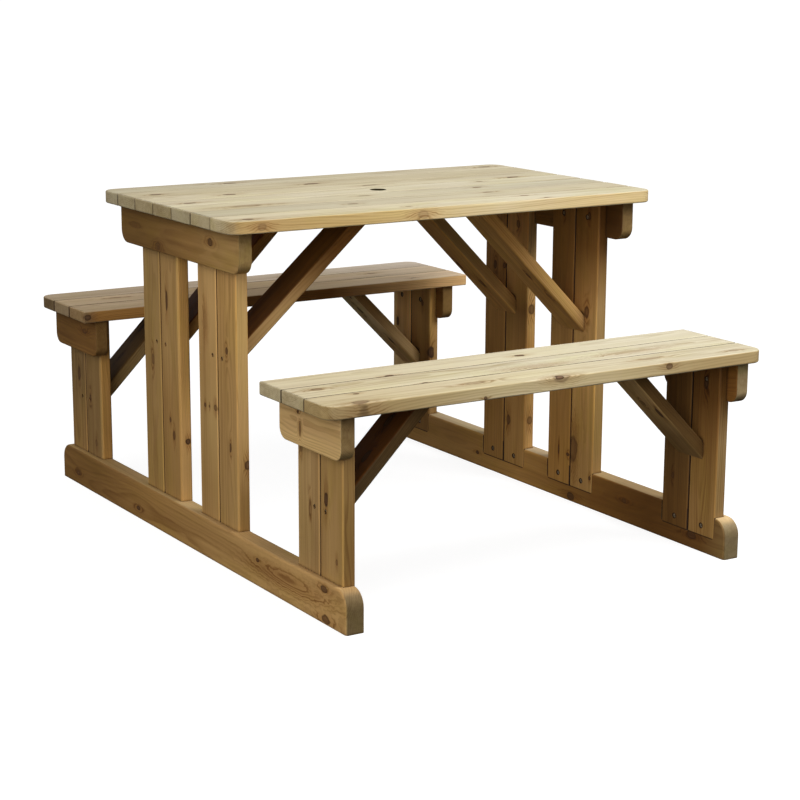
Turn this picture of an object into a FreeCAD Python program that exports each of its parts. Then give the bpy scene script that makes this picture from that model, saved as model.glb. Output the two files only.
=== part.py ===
# Walk-in picnic table in pressure-treated softwood: a planked top and two benches carried by two
# end frames. Each frame is a foot rail, four pairs of uprights housed in it, and the bearers that
# the planks rest on. Braces stiffen the frames along the table, and every joint is screwed.
#
# Frame: millimetres, origin on the ground under the middle of the table top. X runs along the
# planks, Y from the front bench (-Y) to the back bench (+Y), Z up. The table doesn't move or fold.

import FreeCAD, Part
import math
import os

from FreeCAD import Vector

# ---------------------------------------------------------------- driving dimensions
TABLE_HEIGHT = 760.0            # ground to the top of the table
BENCH_HEIGHT = 460.0            # ground to the top of a bench
TOP_LENGTH = 1076.0             # planks of the table and of the benches
BENCH_CENTRE_Y = 575.0          # middle of a bench, from the middle of the table
FRONT_BENCH_SHIFT = -3.5        # along X: its planks aren't quite centred on the frames

# The board: one stock section makes the planks, the uprights and the braces.
BOARD_WIDTH = 89.0
BOARD_THICKNESS = 28.0
BOARD_ARRIS = 5.0               # rounding of a board's long edges
BOARD_GAP = 2.0                 # between neighbouring planks, and inside a pair of uprights
TABLE_PLANKS = 7
BENCH_PLANKS = 3
PLANK_ARRIS = 4.0               # rounding of a plank's edges, ends included
TABLE_CORNER_RADIUS = 32.0      # the top's four corners, in plan
BENCH_CORNER_RADIUS = 30.0      # a bench's two outer corners, in plan
PARASOL_HOLE_DIAMETER = 35.0

# The foot rail of an end frame.
FOOT_OUTER_X = 495.0
FOOT_THICKNESS = 42.0
FOOT_HEIGHT = 86.0
FOOT_LENGTH = 1400.0
FOOT_CORNER_RADIUS = 36.0
FOOT_ARRIS = 6.0
HOUSING_BOTTOM_Z = 36.0         # where the uprights stop inside the foot
HOUSING_CORNER_RADIUS = 9.0     # lower corners of a housing and of the pair that stands in it

# The uprights stand in pairs, flush with the foot's inner face.
TABLE_PAIR_Y = 138.5            # middle of a pair under the table
BENCH_PAIR_Y = BENCH_CENTRE_Y   # middle of the pair under a bench

# The bearers lie against the uprights' outer faces, housed over them.
BEARER_OUTER_X = 504.0
BEARER_THICKNESS = 31.0
BEARER_HEIGHT = 88.0
BEARER_ARRIS = 3.0
TABLE_BEARER_LENGTH = 576.0
TABLE_BEARER_CORNER_RADIUS = 29.0
BENCH_BEARER_INNER_Y = 452.0
BENCH_BEARER_OUTER_Y = 696.0
BENCH_BEARER_CORNER_RADIUS = 25.0

# The braces rise from the uprights' inner faces to the underside of the planks.
BRACE_ANGLE = 45.0
TABLE_BRACE_FOOT_Z = 418.0      # lowest point of a table brace
BENCH_BRACE_FOOT_Z = 208.0      # lowest point of a bench brace
FLAT_BRACE_ANGLE = 41.5         # the left front table brace is set flatter than the others
FLAT_BRACE_FOOT_Z = 435.0

# Countersunk wood screws.
SCREW_HEAD_RADIUS = 4.5
SCREW_SHANK_RADIUS = 2.2
SCREW_RIM = 0.5                 # flat edge of the head, above its cone
SCREW_POINT = 6.0               # length of the tapered point
SCREW_SINK = 1.5                # how far a head lies under the wood's face
RECESS_WIDTH = 1.1              # cross recess in the head
RECESS_SPAN = 4.8
RECESS_DEPTH = 2.0
SHORT_SCREW = 38.0
BRACE_SCREW = 60.0
LONG_SCREW = 80.0
PLANK_BITE = 18.0               # how far a screw from below goes into a plank
BRACE_SCREW_RISE = 20.0         # degrees by which the screw into a brace's foot points up
BRACE_SCREW_HEAD_Z = 14.0       # its head, above the brace's lowest point
BRACE_SCREW_SPREAD = 22.0       # its distance from the seam between the uprights
BRACE_HEAD_SCREW_X = 26.0       # screw up through a brace's head, from the head's lower end
PLANK_SCREW_X = 492.5           # screws up through a bearer, in the wood left beside its housing
PLANK_SCREW_INSET = 20.0        # their distance from a plank's middle, towards the row's middle

# ---------------------------------------------------------------- worked-out dimensions
PLANK_PITCH = BOARD_WIDTH + BOARD_GAP
TABLE_UNDERSIDE = TABLE_HEIGHT - BOARD_THICKNESS
BENCH_UNDERSIDE = BENCH_HEIGHT - BOARD_THICKNESS
FOOT_INNER_X = FOOT_OUTER_X - FOOT_THICKNESS
UPRIGHT_OUTER_X = FOOT_INNER_X + BOARD_THICKNESS
PAIR_WIDTH = 2 * BOARD_WIDTH + BOARD_GAP
UPRIGHT_OFFSET = PLANK_PITCH / 2    # an upright's middle, from the middle of its pair

ENDS = {"left": -1, "right": 1}
SIDES = {"front": -1, "back": 1}


# ---------------------------------------------------------------- shapes
def box(low, high):
    """Box between two opposite corners, given in any order."""
    corner = Vector(*[min(pair) for pair in zip(low, high)])
    size = [abs(b - a) for a, b in zip(low, high)]
    return Part.makeBox(*size, corner)


def runs_along(edge, direction):
    """Whether a straight edge is parallel to a direction."""
    if len(edge.Vertexes) != 2 or not isinstance(edge.Curve, Part.Line):
        return False
    along = edge.Vertexes[1].Point - edge.Vertexes[0].Point
    return along.cross(direction).Length < 1e-6 * along.Length * direction.Length


def edges_along(shape, direction):
    """Straight edges of a shape that are parallel to a direction."""
    return [edge for edge in shape.Edges if runs_along(edge, direction)]


def level_edges(shape, z):
    """Edges that lie wholly at a height."""
    return [edge for edge in shape.Edges
            if abs(edge.BoundBox.ZMin - z) < 1e-6 and abs(edge.BoundBox.ZMax - z) < 1e-6]


def face_outline_edges(shape, x):
    """Edges that lie wholly in a plane across X, except the one on the shape's lowest line."""
    lowest = shape.BoundBox.ZMin
    return [edge for edge in shape.Edges
            if abs(edge.BoundBox.XMin - x) < 1e-6 and abs(edge.BoundBox.XMax - x) < 1e-6
            and edge.BoundBox.ZMax > lowest + 1e-6]


def mirrored_x(shape, end):
    """A shape made for the right end, moved to the end that the sign names."""
    if end > 0:
        return shape
    return shape.mirror(Vector(0, 0, 0), Vector(1, 0, 0))


def plank(y, top_z, corner_sides, corner_radius):
    """Plank along X. Its corners on the named sides of Y are rounded in plan."""
    half_length = TOP_LENGTH / 2
    half_width = BOARD_WIDTH / 2
    bottom_z = top_z - BOARD_THICKNESS
    solid = box((-half_length, y - half_width, bottom_z), (half_length, y + half_width, top_z))
    corners = [edge for edge in edges_along(solid, Vector(0, 0, 1))
               if any((edge.CenterOfMass.y - y) * side > 0 for side in corner_sides)]
    if corners:
        solid = solid.makeFillet(corner_radius, corners)
    rims = level_edges(solid, top_z) + level_edges(solid, bottom_z)
    return solid.makeFillet(PLANK_ARRIS, rims)


def housing(pair_y, depth_from_x, depth_to_x, bottom_z, top_z):
    """Space that a pair of uprights fills inside another piece, at the right end."""
    solid = box((depth_from_x, pair_y - PAIR_WIDTH / 2, bottom_z),
                (depth_to_x, pair_y + PAIR_WIDTH / 2, top_z))
    lower = [edge for edge in edges_along(solid, Vector(1, 0, 0))
             if edge.BoundBox.ZMax < bottom_z + 1e-6]
    return solid.makeFillet(HOUSING_CORNER_RADIUS, lower)


def foot_rail():
    """Foot of the right end frame, with a stopped housing for each pair of uprights."""
    half = FOOT_LENGTH / 2
    solid = box((FOOT_INNER_X, -half, 0), (FOOT_OUTER_X, half, FOOT_HEIGHT))
    top_corners = [edge for edge in edges_along(solid, Vector(1, 0, 0))
                   if edge.BoundBox.ZMin > FOOT_HEIGHT - 1e-6]
    solid = solid.makeFillet(FOOT_CORNER_RADIUS, top_corners)
    rims = face_outline_edges(solid, FOOT_INNER_X) + face_outline_edges(solid, FOOT_OUTER_X)
    solid = solid.makeFillet(FOOT_ARRIS, rims)
    pockets = [housing(y, FOOT_INNER_X - 1, UPRIGHT_OUTER_X, HOUSING_BOTTOM_Z, FOOT_HEIGHT + 20)
               for y in (-BENCH_PAIR_Y, -TABLE_PAIR_Y, TABLE_PAIR_Y, BENCH_PAIR_Y)]
    return solid.cut(pockets)


def upright(pair_y, across, top_z):
    """Upright of a right-end pair: across is -1 or 1, the side of the pair that it stands on."""
    y = pair_y + across * UPRIGHT_OFFSET
    half = BOARD_WIDTH / 2
    solid = box((FOOT_INNER_X, y - half, HOUSING_BOTTOM_Z), (UPRIGHT_OUTER_X, y + half, top_z))
    solid = solid.makeFillet(BOARD_ARRIS, edges_along(solid, Vector(0, 0, 1)))
    return solid.common(housing(pair_y, FOOT_INNER_X, UPRIGHT_OUTER_X, HOUSING_BOTTOM_Z, top_z))


def bearer(low_y, high_y, top_z, corner_radius, pair_ys):
    """Bearer of the right end frame, its lower corners rounded, housed over the uprights."""
    inner_x = BEARER_OUTER_X - BEARER_THICKNESS
    bottom_z = top_z - BEARER_HEIGHT
    solid = box((inner_x, low_y, bottom_z), (BEARER_OUTER_X, high_y, top_z))
    lower_corners = [edge for edge in edges_along(solid, Vector(1, 0, 0))
                     if edge.BoundBox.ZMax < bottom_z + 1e-6]
    solid = solid.makeFillet(corner_radius, lower_corners)
    rims = [edge for x in (inner_x, BEARER_OUTER_X) for edge in solid.Edges
            if abs(edge.BoundBox.XMin - x) < 1e-6 and abs(edge.BoundBox.XMax - x) < 1e-6
            and edge.BoundBox.ZMin < top_z - 1e-6]
    solid = solid.makeFillet(BEARER_ARRIS, rims)
    channels = [box((inner_x - 1, y - PAIR_WIDTH / 2, bottom_z - 1),
                    (UPRIGHT_OUTER_X, y + PAIR_WIDTH / 2, top_z + 1)) for y in pair_ys]
    return solid.cut(channels)


def brace(pair_y, foot_z, top_z, angle):
    """Sloping board of the right end: cut upright at its foot and level at its head."""
    slope = math.tan(math.radians(angle))
    foot_height = BOARD_THICKNESS / math.cos(math.radians(angle))
    head_low_x = FOOT_INNER_X - (top_z - foot_z) / slope
    head_high_x = FOOT_INNER_X - (top_z - foot_z - foot_height) / slope
    y = pair_y - BOARD_WIDTH / 2
    corners = [Vector(FOOT_INNER_X, y, foot_z), Vector(FOOT_INNER_X, y, foot_z + foot_height),
               Vector(head_high_x, y, top_z), Vector(head_low_x, y, top_z)]
    outline = Part.makePolygon(corners + corners[:1])
    solid = Part.Face(outline).extrude(Vector(0, BOARD_WIDTH, 0))
    return solid.makeFillet(BOARD_ARRIS, edges_along(solid, Vector(-1, 0, slope)))


def screw_body(length, sink):
    """Screw shape from its head at the origin to its point at +Z, with a bore of the head's size
    behind the head when sink is given: that is the hole it leaves in the wood."""
    cone_z = SCREW_RIM + SCREW_HEAD_RADIUS - SCREW_SHANK_RADIUS
    profile = [Vector(0, 0, -sink), Vector(SCREW_HEAD_RADIUS, 0, -sink),
               Vector(SCREW_HEAD_RADIUS, 0, SCREW_RIM), Vector(SCREW_SHANK_RADIUS, 0, cone_z),
               Vector(SCREW_SHANK_RADIUS, 0, length - SCREW_POINT), Vector(0, 0, length)]
    face = Part.Face(Part.makePolygon(profile + profile[:1]))
    return face.revolve(Vector(0, 0, 0), Vector(0, 0, 1), 360)


def screw(length):
    """Countersunk screw with a cross recess."""
    half_span = RECESS_SPAN / 2
    half_width = RECESS_WIDTH / 2
    bars = [box((-half_span, -half_width, -1), (half_span, half_width, RECESS_DEPTH)),
            box((-half_width, -half_span, -1), (half_width, half_span, RECESS_DEPTH))]
    return screw_body(length, 0).cut(bars)


class Assembly:
    """Named wooden pieces, and the groups of screws that hold them."""

    def __init__(self):
        self.wood = {}
        self.holes = {}
        self.screws = {}

    def add(self, name, solid):
        self.wood[name] = solid
        self.holes[name] = []

    def fix(self, group, head, direction, length, sink, names):
        """Screw in a group, its head at a point, through the named pieces. The hole reaches out
        of the wood by sink, measured from the head."""
        turn = FreeCAD.Rotation(Vector(0, 0, 1), direction)
        place = FreeCAD.Placement(head, turn)
        fastener = screw(length)
        fastener.Placement = place
        hole = screw_body(length, sink)
        hole.Placement = place
        self.screws.setdefault(group, []).append(fastener)
        for name in names:
            self.holes[name].append(hole)

    def export(self):
        os.makedirs("parts", exist_ok=True)
        for name, solid in self.wood.items():
            if self.holes[name]:
                solid = solid.cut(self.holes[name])
            solid.exportStep("parts/" + name + ".step")
        for name, solids in self.screws.items():
            Part.makeCompound(solids).exportStep("parts/" + name + ".step")


# ---------------------------------------------------------------- the pieces
def plank_offsets(count):
    """Middles of a row of planks, from the row's own middle."""
    return [(index - (count - 1) / 2) * PLANK_PITCH for index in range(count)]


def add_table_top(table):
    """Seven planks, numbered from the front. The middle one has the parasol hole."""
    offsets = plank_offsets(TABLE_PLANKS)
    for number, y in enumerate(offsets, start=1):
        sides = {1: [-1], TABLE_PLANKS: [1]}.get(number, [])
        solid = plank(y, TABLE_HEIGHT, sides, TABLE_CORNER_RADIUS)
        if y == 0:
            solid = solid.cut(Part.makeCylinder(PARASOL_HOLE_DIAMETER / 2, 3 * BOARD_THICKNESS,
                                                Vector(0, 0, TABLE_HEIGHT - 2 * BOARD_THICKNESS)))
        table.add("top_plank_%d" % number, solid)


def add_bench(table, side_name, side):
    """Three planks, numbered from the table outwards."""
    shift = FRONT_BENCH_SHIFT if side_name == "front" else 0.0
    for number, offset in enumerate(plank_offsets(BENCH_PLANKS), start=1):
        corner_sides = [side] if number == BENCH_PLANKS else []
        solid = plank(side * (BENCH_CENTRE_Y + offset), BENCH_HEIGHT, corner_sides,
                      BENCH_CORNER_RADIUS)
        solid.translate(Vector(shift, 0, 0))
        table.add("%s_bench_plank_%d" % (side_name, number), solid)


def add_end_frame(table, end_name, end):
    """Foot rail, bearers and uprights of one end."""
    half_bearer = TABLE_BEARER_LENGTH / 2
    table.add(end_name + "_foot_rail", mirrored_x(foot_rail(), end))
    table_bearer = bearer(-half_bearer, half_bearer, TABLE_UNDERSIDE, TABLE_BEARER_CORNER_RADIUS,
                          (-TABLE_PAIR_Y, TABLE_PAIR_Y))
    table.add(end_name + "_table_bearer", mirrored_x(table_bearer, end))
    for side_name, side in SIDES.items():
        ends_y = sorted((side * BENCH_BEARER_INNER_Y, side * BENCH_BEARER_OUTER_Y))
        bench_bearer = bearer(*ends_y, BENCH_UNDERSIDE, BENCH_BEARER_CORNER_RADIUS,
                              [side * BENCH_PAIR_Y])
        table.add("%s_%s_bench_bearer" % (end_name, side_name), mirrored_x(bench_bearer, end))
        for use, pair_y, top_z in (("table", TABLE_PAIR_Y, TABLE_UNDERSIDE),
                                   ("bench", BENCH_PAIR_Y, BENCH_UNDERSIDE)):
            for place, across in (("inner", -side), ("outer", side)):
                name = "%s_%s_%s_upright_%s" % (end_name, side_name, use, place)
                table.add(name, mirrored_x(upright(side * pair_y, across, top_z), end))


def brace_setting(end_name, side_name, use):
    """Height of a brace's foot, and its slope in degrees."""
    if (end_name, side_name, use) == ("left", "front", "table"):
        return FLAT_BRACE_FOOT_Z, FLAT_BRACE_ANGLE
    if use == "table":
        return TABLE_BRACE_FOOT_Z, BRACE_ANGLE
    return BENCH_BRACE_FOOT_Z, BRACE_ANGLE


def add_braces(table, end_name, end):
    """One brace for each pair of uprights of one end, with the screws at its two ends."""
    for side_name, side in SIDES.items():
        for use, pair_y, top_z, planks in (
                ("table", TABLE_PAIR_Y, TABLE_UNDERSIDE, TABLE_PLANKS),
                ("bench", BENCH_PAIR_Y, BENCH_UNDERSIDE, BENCH_PLANKS)):
            foot_z, angle = brace_setting(end_name, side_name, use)
            name = "%s_%s_%s_brace" % (end_name, side_name, use)
            table.add(name, mirrored_x(brace(side * pair_y, foot_z, top_z, angle), end))
            head_x = FOOT_INNER_X - (top_z - foot_z) / math.tan(math.radians(angle))
            rise = math.radians(BRACE_SCREW_RISE)
            into_foot = Vector(-end * math.cos(rise), 0, math.sin(rise))
            for place, across in (("inner", -side), ("outer", side)):
                y = side * pair_y + across * BRACE_SCREW_SPREAD
                foot_head = Vector(end * UPRIGHT_OUTER_X, y, foot_z + BRACE_SCREW_HEAD_Z)
                table.fix("brace_foot_screws", foot_head + into_foot * (2 * SCREW_SINK), into_foot,
                          BRACE_SCREW, 4 * SCREW_SINK,
                          [name, "%s_%s_%s_upright_%s" % (end_name, side_name, use, place)])
                top_head = Vector(end * (head_x + BRACE_HEAD_SCREW_X), y,
                                  top_z + PLANK_BITE - SHORT_SCREW)
                table.fix("brace_head_screws", top_head, Vector(0, 0, 1), SHORT_SCREW,
                          BOARD_THICKNESS, [name, plank_over(side_name, use, y)])


def plank_over(side_name, use, y):
    """Name of the plank that lies above a point."""
    count = TABLE_PLANKS if use == "table" else BENCH_PLANKS
    stem = "top" if use == "table" else side_name + "_bench"
    from_middle = y if use == "table" else abs(y) - BENCH_CENTRE_Y
    return "%s_plank_%d" % (stem, round(from_middle / PLANK_PITCH + (count + 1) / 2))


def add_upright_screws(table, end_name, end):
    """Two screws in the inner face of each upright: into the foot, and into the bearer."""
    outward = Vector(end, 0, 0)
    head_x = end * (FOOT_INNER_X + SCREW_SINK)
    foot_z = (HOUSING_BOTTOM_Z + FOOT_HEIGHT) / 2 - 2
    for side_name, side in SIDES.items():
        for use, pair_y, top_z in (("table", TABLE_PAIR_Y, TABLE_UNDERSIDE),
                                   ("bench", BENCH_PAIR_Y, BENCH_UNDERSIDE)):
            bearer_name = end_name + ("_table_bearer" if use == "table"
                                      else "_%s_bench_bearer" % side_name)
            for place, across in (("inner", -side), ("outer", side)):
                y = side * pair_y + across * UPRIGHT_OFFSET
                name = "%s_%s_%s_upright_%s" % (end_name, side_name, use, place)
                table.fix("upright_foot_screws", Vector(head_x, y, foot_z), outward, SHORT_SCREW,
                          2 * SCREW_SINK, [name, end_name + "_foot_rail"])
                table.fix("upright_bearer_screws", Vector(head_x, y, top_z - BEARER_HEIGHT / 2),
                          outward, SHORT_SCREW, 2 * SCREW_SINK, [name, bearer_name])


def plank_screw_offsets(count):
    """Screws of a row of planks, from the row's middle: a little nearer to it than the planks."""
    return [offset - math.copysign(PLANK_SCREW_INSET, offset) if offset else 0.0
            for offset in plank_offsets(count)]


def add_plank_screws(table, end_name, end):
    """Long screws that come up through the bearers, one into each end of each plank."""
    up = Vector(0, 0, 1)
    x = end * PLANK_SCREW_X
    head_drop = LONG_SCREW - PLANK_BITE
    for number, y in enumerate(plank_screw_offsets(TABLE_PLANKS), start=1):
        table.fix("table_plank_screws", Vector(x, y, TABLE_UNDERSIDE - head_drop), up,
                  LONG_SCREW, BEARER_HEIGHT,
                  [end_name + "_table_bearer", "top_plank_%d" % number])
    for side_name, side in SIDES.items():
        for number, offset in enumerate(plank_screw_offsets(BENCH_PLANKS), start=1):
            y = side * (BENCH_CENTRE_Y + offset)
            table.fix("bench_plank_screws", Vector(x, y, BENCH_UNDERSIDE - head_drop), up,
                      LONG_SCREW, BEARER_HEIGHT,
                      ["%s_%s_bench_bearer" % (end_name, side_name),
                       "%s_bench_plank_%d" % (side_name, number)])


def main():
    table = Assembly()
    add_table_top(table)
    for side_name, side in SIDES.items():
        add_bench(table, side_name, side)
    for end_name, end in ENDS.items():
        add_end_frame(table, end_name, end)
        add_braces(table, end_name, end)
        add_upright_screws(table, end_name, end)
        add_plank_screws(table, end_name, end)
    table.export()


main()
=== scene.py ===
"""Looks of a walk-in picnic table in pressure-treated softwood, on a pale studio floor.

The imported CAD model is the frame. The planks of the top and of the benches are built here as boards
with eased, slightly uneven edges. The end frames, braces and screws keep their CAD shapes. Every
board has its own wood: growth rings around its own pith, with knots that the rings flow around.
"""

import math
import random

import bmesh
import bpy
from mathutils import Matrix, Vector, noise


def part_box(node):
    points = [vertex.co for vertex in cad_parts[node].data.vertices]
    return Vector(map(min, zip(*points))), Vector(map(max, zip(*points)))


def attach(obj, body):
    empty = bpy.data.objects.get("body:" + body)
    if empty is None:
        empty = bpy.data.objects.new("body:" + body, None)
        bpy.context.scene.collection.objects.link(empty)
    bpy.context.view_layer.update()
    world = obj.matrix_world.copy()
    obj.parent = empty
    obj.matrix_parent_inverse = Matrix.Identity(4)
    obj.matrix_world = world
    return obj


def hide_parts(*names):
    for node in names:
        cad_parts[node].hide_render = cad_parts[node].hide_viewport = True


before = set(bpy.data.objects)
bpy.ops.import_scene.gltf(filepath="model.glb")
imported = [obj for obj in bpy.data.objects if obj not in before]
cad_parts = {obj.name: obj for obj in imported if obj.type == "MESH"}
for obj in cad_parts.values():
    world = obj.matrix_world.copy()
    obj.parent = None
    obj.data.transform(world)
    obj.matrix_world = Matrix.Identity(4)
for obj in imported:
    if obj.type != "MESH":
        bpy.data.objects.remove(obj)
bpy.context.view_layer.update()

MM = 0.001

# ---------------------------------------------------------------- planks
ARRIS = 3.4 * MM                # rounding of a plank's edges
ARRIS_STEPS = 5
ARRIS_UNEVENNESS = 0.28         # how much the rounding varies along an edge, as a share of it
CORNER_STEPS = 9
LENGTH_STEP = 16 * MM
WIDTH_STEPS = 6
SQUARE_CORNER = 2.0 * MM        # a plank's corner in plan, where it isn't rounded
TABLE_CORNER = 32 * MM
BENCH_CORNER = 30 * MM
END_UNEVENNESS = 0.9 * MM       # how far an inner plank may stop short of the row's end
SURFACE_UNEVENNESS = 0.35 * MM
HOLE_RADIUS = 17.5 * MM
HOLE_EASING = 1.6 * MM
HOLE_STEPS = 72
HOLE_RIM_STEPS = 6

# ---------------------------------------------------------------- uprights
HOUSED_HEIGHT = 50 * MM         # how much of an upright stands inside the foot rail
FOOT_SCREW_HEIGHT = 23 * MM     # screw into the foot, above the upright's lower end
BEARER_SCREW_DROP = 44 * MM     # screw into the bearer, below the upright's upper end

# ---------------------------------------------------------------- wood colours, linear
# Each look: its early and late wood and its knots, what its end grain is tinted by, and how strong its
# rings, streaks and green stain are. The last look is the pale wood made darker and browner with painted
# shade, for the back bench.
PALE = {"early": (0.64, 0.56, 0.38), "late": (0.35, 0.25, 0.125), "end": (0.95, 0.91, 0.82),
        "rings": (0.35, 0.65), "streaks": 1.0, "green": (0.1, 0.4), "knot": (0.125, 0.065, 0.035)}
HONEY = {"early": (0.50, 0.295, 0.105), "late": (0.235, 0.110, 0.028), "end": (0.72, 0.80, 0.90),
         "rings": (0.25, 0.5), "streaks": 0.9, "green": (0.2, 0.6), "knot": (0.075, 0.030, 0.011)}
PALE_IN_SHADE = {**PALE, "early": (0.64, 0.48, 0.30), "late": (0.35, 0.215, 0.10)}
KNOT_HALO = (0.26, 0.135, 0.050)
KNOT_STAIN = (0.62, 0.42, 0.26)
# Colour of the painted shade in crevices.
CREVICE_SHADE_TINT = (0.15, 0.09, 0.045)
BARK_AND_SHADE_COLOUR = (0.045, 0.019, 0.005)
GREEN_TINT = (0.44, 0.47, 0.30)
END_PORE_TINT = (0.62, 0.58, 0.52)
# Colour of the painted highlight beside the uprights' long edges.
HIGHLIGHT_TINT = (1.40, 1.38, 1.30)
HIGHLIGHT_BY_FRAME = {"left": 1.0, "right": 0.4}      # how strong the painted highlight beside the uprights' long edges is, by end frame
TOP_SEAM_SHADE = 0.6             # the painted shade in the top's seams is fainter than in the others

# ---------------------------------------------------------------- tones, with painted light and shade
PLAIN_STOPS = [(0, 1.0, 0)]     # a board as light and as warm as its look
WARMTH = (1.0, 0.92, 0.78)      # what each step of warmth does to red, green and blue
BRIGHTEST = 4.0                 # lightest tone that a board can be given

# ---------------------------------------------------------------- wood pattern
# How many times each part of it changes in a metre, along, across and through a board.
DRIFT = (1.3, 7.0, 7.0)
RIPPLE = (7.0, 38.0, 38.0)
FIBRE = (14.0, 900.0, 900.0)
STREAK = (2.2, 95.0, 95.0)
BANDS = (1.0, 14.0, 14.0)
BLOTCH = (5.0, 16.0, 16.0)
PORES = (200.0, 1300.0, 1300.0)
KNOT_WOBBLE = (60.0, 110.0, 110.0)
DRIFT_REACH = 50 * MM           # how far the rings drift
RIPPLE_REACH = 4 * MM
TAPER = (0.012, 1.0, 1.0)       # how little the rings change along a board
BRANCH_RINGS = 4200.0           # rings in a knot, in radians a metre
THROUGH_KNOT = 200 * MM         # how deep a knot goes that shows on a face
EDGE_KNOT = 13 * MM             # how deep a knot goes that shows on an edge
KNOT_TILT = 0.15

# ---------------------------------------------------------------- painted shade and painted highlights
# Distances where each starts and where it is full, from an edge or from a screw's middle.
SEAM_SHADE = (2.2 * MM, 1.0 * MM)
HOUSING_SHADE_LINE = (3.4 * MM, 1.4 * MM)
SCREW_SHADE_RING = (7.6 * MM, 5.6 * MM)
HIGHLIGHT_BAND = (7.5 * MM, 3.5 * MM)
CREVICE_SHADE_REACH = 10 * MM
SCREW_RECESS_SHADE_REACH = 3 * MM

# ---------------------------------------------------------------- studio
FLOOR_HALF_SIZE = 90.0
BACKDROP = (1.9, 1.9, 1.9)      # what the camera sees behind the floor
SKY_STRENGTH = 0.50
LAMP_TARGET = (0.0, 0.0, 0.7)   # near the middle of the table top
CAMERA_PLACE = (-2.3404, -3.8512, 1.2994)
CAMERA_HEADING, CAMERA_TILT, CAMERA_ROLL = 31.36, 13.04, 0.13       # degrees
CAMERA_LENS = 89.915
CAMERA_SHIFT = (0.0249, 0.0089)

# ---------------------------------------------------------------- sets of planks
# Each set: how many planks, the radius of its outer corners, and its look.
PLANK_SETS = {"top": (7, TABLE_CORNER, PALE), "front_bench": (3, BENCH_CORNER, PALE),
              "back_bench": (3, BENCH_CORNER, PALE_IN_SHADE)}


# ---------------------------------------------------------------- node helpers
class Graph:
    """Short names for building one node tree."""

    def __init__(self, tree):
        self.tree = tree

    def node(self, kind, **settings):
        made = self.tree.nodes.new("ShaderNode" + kind)
        for name, value in settings.items():
            setattr(made, name, value)
        return made

    def put(self, socket, value):
        """Links a socket to an output, or sets its value."""
        if isinstance(value, bpy.types.NodeSocket):
            self.tree.links.new(value, socket)
        elif isinstance(value, tuple) and socket.type == "RGBA":
            socket.default_value = (*value[:3], 1.0)
        else:
            socket.default_value = value

    def math(self, operation, *values, clamp=False):
        made = self.node("Math", operation=operation, use_clamp=clamp)
        for socket, value in zip(made.inputs, values):
            self.put(socket, value)
        return made.outputs[0]

    def vector(self, operation, *values):
        made = self.node("VectorMath", operation=operation)
        for socket, value in zip(made.inputs, values):
            self.put(socket, value)
        scalar = operation in ("LENGTH", "DOT_PRODUCT", "DISTANCE")
        return made.outputs["Value" if scalar else "Vector"]

    def noise(self, vector, stretch, detail=2.0, roughness=0.5):
        """Noise from 0 to 1. Stretch is how many times it changes in a metre, along each axis."""
        made = self.node("TexNoise", noise_dimensions="3D")
        self.put(made.inputs["Vector"], self.vector("MULTIPLY", vector, stretch))
        made.inputs["Scale"].default_value = 1.0
        made.inputs["Detail"].default_value = detail
        made.inputs["Roughness"].default_value = roughness
        return made.outputs["Fac"]

    def around(self, value, centre, amount, base):
        """Base plus amount times how far value lies from centre."""
        return self.math("MULTIPLY_ADD", self.math("SUBTRACT", value, centre), amount, base)

    def remap(self, value, low, high, to_low=0.0, to_high=1.0, kind="SMOOTHSTEP"):
        made = self.node("MapRange", interpolation_type=kind)
        for socket, number in zip(made.inputs, (value, low, high, to_low, to_high)):
            self.put(socket, number)
        return made.outputs["Result"]

    def mix(self, factor, first, second, blend="MIX"):
        made = self.node("Mix", data_type="RGBA", blend_type=blend, clamp_factor=True)
        sockets = [socket for socket in made.inputs if socket.type == "RGBA"]
        self.put(made.inputs[0], factor)
        self.put(sockets[0], first)
        self.put(sockets[1], second)
        return [socket for socket in made.outputs if socket.type == "RGBA"][0]

    def combine(self, x, y, z):
        made = self.node("CombineXYZ")
        for socket, value in zip(made.inputs, (x, y, z)):
            self.put(socket, value)
        return made.outputs[0]

    def shades(self, share, stops):
        """Tone that changes with a share from 0 to 1. Stops are (share, lightness, warmth)."""
        made = self.node("ValToRGB")
        self.put(made.inputs["Fac"], share)
        points = made.color_ramp.elements
        while len(points) < len(stops):
            points.new(0.5)
        while len(points) > len(stops):
            points.remove(points[-1])
        for point, (position, lightness, warmth) in zip(points, stops):
            point.position = min(max(position, 0.0), 1.0)
            point.color = (*(lightness * step ** warmth / BRIGHTEST for step in WARMTH), 1.0)
        return self.vector("MULTIPLY", made.outputs["Color"], (BRIGHTEST,) * 3)

    def use(self, group, **values):
        made = self.node("Group", node_tree=group)
        for name, value in values.items():
            self.put(made.inputs[name], value)
        return made.outputs


def make_group(name, inputs, outputs):
    """Empty shader group with these sockets, given as {name: kind}, with its graph and its ends."""
    group = bpy.data.node_groups.new(name, "ShaderNodeTree")
    for in_out, sockets in (("INPUT", inputs), ("OUTPUT", outputs)):
        for socket, kind in sockets.items():
            group.interface.new_socket(socket, in_out=in_out, socket_type="NodeSocket" + kind)
    start = group.nodes.new("NodeGroupInput").outputs
    end = group.nodes.new("NodeGroupOutput").inputs
    return group, Graph(group), start, end


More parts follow.
